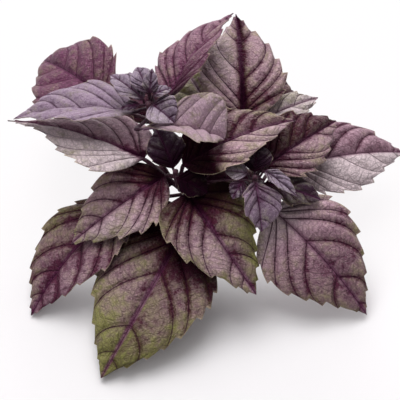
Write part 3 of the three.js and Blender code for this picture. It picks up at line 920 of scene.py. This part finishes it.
def matt_paper(colour):
    """Matt white paper. It takes the bunch's shadow in front, and turns evenly white behind, from 60 to
    15 mm before the middle, as a lit backdrop does."""
    material, put = new_material("Matt white paper")
    spot = put("TexCoord").outputs["Object"]
    # Fibres are drawn 2 mm wide, coarser than real ones, so that they show.
    fibre = put("TexNoise", {"Vector": spot, "Scale": 1 / (2 * MM)})
    bump = put("Bump", {"Strength": 0.05, "Distance": 0.1 * MM, "Height": fibre})
    paper = put("BsdfDiffuse", {"Color": rgba(colour), "Normal": bump})
    depth = put("SeparateXYZ", {0: spot}).outputs["Y"]
    ends = {"Value": depth, "From Min": -60 * MM, "From Max": -15 * MM, "To Min": 0.06, "To Max": 0.9}
    whitening = put("MapRange", ends, interpolation_type="SMOOTHSTEP")
    share = put("Math", {0: seen_directly(put), 1: whitening}, operation="MULTIPLY")
    glow = put("Emission", {"Color": (1, 0.98, 0.99, 1), "Strength": 1.0})
    put("OutputMaterial", {"Surface": put("MixShader", {0: share, 1: paper, 2: glow})})
    return material


# ---- pieces


def add_piece(name, mesh, node):
    """Links a finished mesh as a piece that stands for a CAD node and rides on the bunch."""
    piece = bpy.data.objects.new(name, mesh)
    bpy.context.scene.collection.objects.link(piece)
    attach(piece, "root")
    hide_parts(node)


def stem_facts(name):
    """A stem's points, arc lengths and the distances of its nodes below the shoot tip."""
    path, run = stem_curve(STEMS[name])
    nodes = np.array([leaf.node for leaf in ALL_LEAVES if leaf.stem == name], float)
    return path, run, nodes


def stem_mesh(name, materials):
    """A stem: a rounded square carried along its curve. Its radius at an angle a is the stem's radius
    times 1 - q cos 4a, with a shallow groove down each face, and it ends in a dome and a cut face."""
    path, run, nodes = stem_facts(name)
    length = run[-1]
    body = np.linspace(1.6, length - 0.35, STEM_ROWS)
    distance = np.concatenate([[0.0, 0.15, 0.5, 1.0], body, [length - 0.1, length, length, length]])
    centre, ahead = along(path, run, distance)
    sideways = unit(np.array([1.0, 0.0, 0.0]) - ahead[:, :1] * ahead)
    upwards = np.cross(ahead, sideways)
    angle = np.linspace(0, 2 * math.pi, STEM_SIDES, endpoint=False)
    dome = np.sqrt(np.clip(1 - ((STEM_DOME - distance) / STEM_DOME) ** 2, 0, 1))
    dome = np.where(distance < STEM_DOME, dome, 1)
    radius = stem_radius(distance, length, nodes) * np.clip(dome, 0.15, 1)
    cut = len(CUT_RINGS)
    radius[-cut:] *= CUT_RINGS
    corner = -np.cos(4 * angle)
    groove = np.exp(-((np.cos(2 * angle) ** 2 - 1) ** 2) / 0.02)
    profile = 1 + STEM_SQUARENESS * corner - 0.05 * groove
    collar = bell(distance[:, None] - nodes, COLLAR_REACH).max(1)
    reach = radius[:, None] * profile * (1 + COLLAR_SIZE * collar[:, None])
    rings = (
        centre[:, None]
        + sideways[:, None] * (reach * np.cos(angle))[..., None]
        + upwards[:, None] * (reach * np.sin(angle))[..., None]
    )
    rings[..., 2] = np.maximum(rings[..., 2], 0.0)
    out = np.broadcast_to((corner + 1) / 2, reach.shape).copy()
    out[-cut:] = np.array(CUT_RINGS)[:, None]
    down = np.broadcast_to(distance[:, None], reach.shape)
    place = np.stack([radius[:, None] * angle, down, out], -1)
    skin = np.zeros(STEM_SIDES)
    attributes = {"stem_place": place}
    mesh = closed_mesh(f"{name}_stem_mesh", rings, attributes, materials, skin, sharp_degrees=50)
    faces = np.zeros(len(mesh.polygons), np.int32)
    faces[(len(distance) - cut) * STEM_SIDES : (len(distance) - 1) * STEM_SIDES] = 1
    faces[-STEM_SIDES:] = 1
    mesh.polygons.foreach_set("material_index", faces)
    return mesh


def build_leaf(leaf, share, young):
    """One leaf as a piece, on a grid of this share of the rows and columns."""
    scene = bpy.context.scene
    shape = scene.basil_leaf
    rows, columns = int(shape.rows * share), int(shape.columns * share)
    scale = min(1.0, leaf.length / FULL_DETAIL_LENGTH) if young else 1.0
    radius = (shape.young_stalk_radius if young else shape.stalk_radius) / MM
    index = ALL_LEAVES.index(leaf)
    upper, lower, attributes = leaf_rings(
        leaf, index, stem_facts(leaf.stem), shape, rows, columns, scale, radius
    )
    rings = around(upper, lower)[:-1]
    carried = {key: around(values, values)[:-1] for key, values in attributes.items()}
    faces = upper.shape[1] - 1
    side = np.concatenate([np.zeros(faces), np.ones(faces)])
    skins = leaf_materials(scene.basil_colours, young or leaf.name in FRESH_LEAVES)
    mesh = closed_mesh(leaf.name, rings, carried, skins, side, sharp_degrees=70)
    add_piece(f"{leaf.name}_leaf", mesh, leaf.name)


def floor_piece(colour):
    """A flat round floor: rings of points at growing distances from the middle."""
    angle = np.linspace(0, 2 * math.pi, FLOOR_SIDES, endpoint=False)
    radius = np.array(FLOOR_RADII)[:, None]
    height = np.full((len(FLOOR_RADII), FLOOR_SIDES), -FLOOR_DROP * MM)
    rings = np.stack([radius * np.cos(angle), radius * np.sin(angle), height], -1)
    facing_up = ring_faces(len(FLOOR_RADII), FLOOR_SIDES)[:, ::-1]
    mesh = bpy.data.meshes.new("Floor")
    mesh.from_pydata(rings.reshape(-1, 3), [], facing_up.tolist() + [list(range(FLOOR_SIDES))])
    mesh.materials.append(matt_paper(colour))
    return bpy.data.objects.new("Floor", mesh)


# ---- operators


class BASIL_OT_stems(bpy.types.Operator):
    """Build the four square stems"""

    bl_idname = "basil.stems"
    bl_label = "Stems"

    def execute(self, context):
        colours = context.scene.basil_colours
        materials = [stem_skin(colours), cut_stem(colours)]
        for name in STEMS:
            add_piece(f"{name}_sprig_stem", stem_mesh(name, materials), f"{name}_stem")
        return {"FINISHED"}


class BASIL_OT_grown_leaves(bpy.types.Operator):
    """Build the grown leaves"""

    bl_idname = "basil.grown_leaves"
    bl_label = "Grown leaves"

    def execute(self, context):
        for leaf in GROWN_LEAVES:
            build_leaf(leaf, 1, False)
        return {"FINISHED"}


class BASIL_OT_low_leaves(bpy.types.Operator):
    """Build the small leaves low on the stems"""

    bl_idname = "basil.low_leaves"
    bl_label = "Low leaves"

    def execute(self, context):
        for leaf in LOW_LEAVES:
            build_leaf(leaf, 3 / 4, False)
        return {"FINISHED"}


class BASIL_OT_young_leaves(bpy.types.Operator):
    """Build the young leaves at the shoot tips"""

    bl_idname = "basil.young_leaves"
    bl_label = "Young leaves"

    def execute(self, context):
        for leaf in YOUNG_LEAVES:
            build_leaf(leaf, 2 / 3, True)
        return {"FINISHED"}


class BASIL_OT_stage(bpy.types.Operator):
    """Set up the floor, the lights and the camera"""

    bl_idname = "basil.stage"
    bl_label = "Stage"

    def execute(self, context):
        scene = context.scene
        stage = scene.basil_stage
        scene.view_settings.view_transform = "Standard"
        target = (CENTRE + np.array([0, 0, TARGET_HEIGHT])) * MM
        tilt = stage.elevation
        camera = bpy.data.objects.new("Camera", bpy.data.cameras.new("Camera"))
        camera.data.lens = stage.lens
        camera.data.clip_start = 0.02
        camera.location = target + np.array([0, -math.cos(tilt), math.sin(tilt)]) * stage.distance
        camera.rotation_euler = (math.pi / 2 - tilt, 0, 0)
        scene.collection.objects.link(camera)
        scene.camera = camera

        for name, power, place, size in LAMPS:
            lamp = bpy.data.lights.new(name, "AREA")
            lamp.shape = "DISK"
            lamp.size = size
            lamp.energy = getattr(stage, power)
            item = bpy.data.objects.new(name, lamp)
            offset = np.array(place)
            away = offset / np.linalg.norm(offset)
            item.location = target + offset
            item.rotation_euler = (math.acos(away[2]), 0, math.atan2(away[0], -away[1]))
            scene.collection.objects.link(item)

        # A white world to look at, which gives only a little even light.
        world = bpy.data.worlds.new("Studio")
        world.use_nodes = True
        world.node_tree.nodes.clear()
        put = partial(add, world.node_tree)
        ends = {"Value": seen_directly(put), "To Min": stage.ambient, "To Max": 1.0}
        light = put("Background", {"Color": (1, 1, 1, 1), "Strength": put("MapRange", ends)})
        put("OutputWorld", {"Surface": light})
        scene.world = world

        floor = floor_piece(stage.floor)
        scene.collection.objects.link(floor)
        return {"FINISHED"}


class BASIL_PT_bunch(bpy.types.Panel):
    """Buttons and settings for the bunch"""

    bl_idname = "BASIL_PT_bunch"
    bl_label = "Purple Basil Bunch"
    bl_space_type = "VIEW_3D"
    bl_region_type = "UI"
    bl_category = "Basil"

    def draw(self, context):
        column = self.layout.column(align=True)
        for operator in OPERATORS:
            column.operator(operator.bl_idname)
        for name, group in GROUPS.items():
            box = self.layout.box()
            for key in group.__annotations__:
                box.prop(getattr(context.scene, name), key)


OPERATORS = (
    BASIL_OT_stems,
    BASIL_OT_grown_leaves,
    BASIL_OT_low_leaves,
    BASIL_OT_young_leaves,
    BASIL_OT_stage,
)
GROUPS = {
    "basil_leaf": BASIL_PG_leaf,
    "basil_colours": BASIL_PG_colours,
    "basil_stage": BASIL_PG_stage,
}
CLASSES = (*GROUPS.values(), *OPERATORS, BASIL_PT_bunch)


def register():
    for item in CLASSES:
        bpy.utils.register_class(item)
    for key, group in GROUPS.items():
        setattr(bpy.types.Scene, key, PointerProperty(type=group))


def unregister():
    for key in GROUPS:
        delattr(bpy.types.Scene, key)
    for item in reversed(CLASSES):
        bpy.utils.unregister_class(item)


def main():
    register()
    bpy.ops.basil.stems()
    bpy.ops.basil.grown_leaves()
    bpy.ops.basil.low_leaves()
    bpy.ops.basil.young_leaves()
    bpy.ops.basil.stage()


if __name__ == "__main__":
    main()
